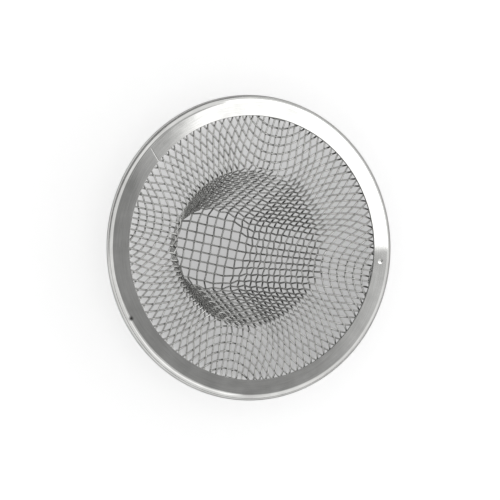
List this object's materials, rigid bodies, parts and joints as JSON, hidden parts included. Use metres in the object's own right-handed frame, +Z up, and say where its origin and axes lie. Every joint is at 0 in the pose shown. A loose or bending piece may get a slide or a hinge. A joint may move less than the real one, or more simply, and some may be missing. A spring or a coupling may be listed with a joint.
{
  "type": "sink strainer",
  "caption": "Round drain strainer: a deep cup of woven steel wire cloth with a flat brim, its edge pinched in a rolled sheet steel rim that rests on the drain.",
  "frame": {"origin": "centre of the rim's flat underside, where it rests on the drain", "axes": "+Z up along the cup's axis, out of the cup's mouth; +X and +Y level, +X to the right and +Y to the top of the picture, with the cloth turned 11.5 degrees clockwise from them"},
  "size_m": [0.07, 0.07, 0.0315],
  "materials": {
    "stainless_sheet": "stamped stainless sheet with a satin sheen and fine handling scratches",
    "stainless_wire": "bright drawn stainless wire"
  },
  "bodies": {
    "root": {"rim": "stainless_sheet", "warp_wires_01": "stainless_wire", "warp_wires_02": "stainless_wire", "warp_wires_03": "stainless_wire", "warp_wires_04": "stainless_wire", "warp_wires_05": "stainless_wire", "warp_wires_06": "stainless_wire", "warp_wires_07": "stainless_wire", "warp_wires_08": "stainless_wire", "warp_wires_09": "stainless_wire", "warp_wires_10": "stainless_wire", "warp_wires_11": "stainless_wire", "warp_wires_12": "stainless_wire", "warp_wires_13": "stainless_wire", "warp_wires_14": "stainless_wire", "warp_wires_15": "stainless_wire", "warp_wires_16": "stainless_wire", "warp_wires_17": "stainless_wire", "warp_wires_18": "stainless_wire", "warp_wires_19": "stainless_wire", "warp_wires_20": "stainless_wire", "warp_wires_21": "stainless_wire", "warp_wires_22": "stainless_wire", "warp_wires_23": "stainless_wire", "warp_wires_24": "stainless_wire", "warp_wires_25": "stainless_wire", "warp_wires_26": "stainless_wire", "weft_wires_01": "stainless_wire", "weft_wires_02": "stainless_wire", "weft_wires_03": "stainless_wire", "weft_wires_04": "stainless_wire", "weft_wires_05": "stainless_wire", "weft_wires_06": "stainless_wire", "weft_wires_07": "stainless_wire", "weft_wires_08": "stainless_wire", "weft_wires_09": "stainless_wire", "weft_wires_10": "stainless_wire", "weft_wires_11": "stainless_wire", "weft_wires_12": "stainless_wire", "weft_wires_13": "stainless_wire", "weft_wires_14": "stainless_wire", "weft_wires_15": "stainless_wire", "weft_wires_16": "stainless_wire", "weft_wires_17": "stainless_wire", "weft_wires_18": "stainless_wire", "weft_wires_19": "stainless_wire", "weft_wires_20": "stainless_wire", "weft_wires_21": "stainless_wire", "weft_wires_22": "stainless_wire", "weft_wires_23": "stainless_wire", "weft_wires_24": "stainless_wire", "weft_wires_25": "stainless_wire", "weft_wires_26": "stainless_wire"}
  },
  "joints": []
}
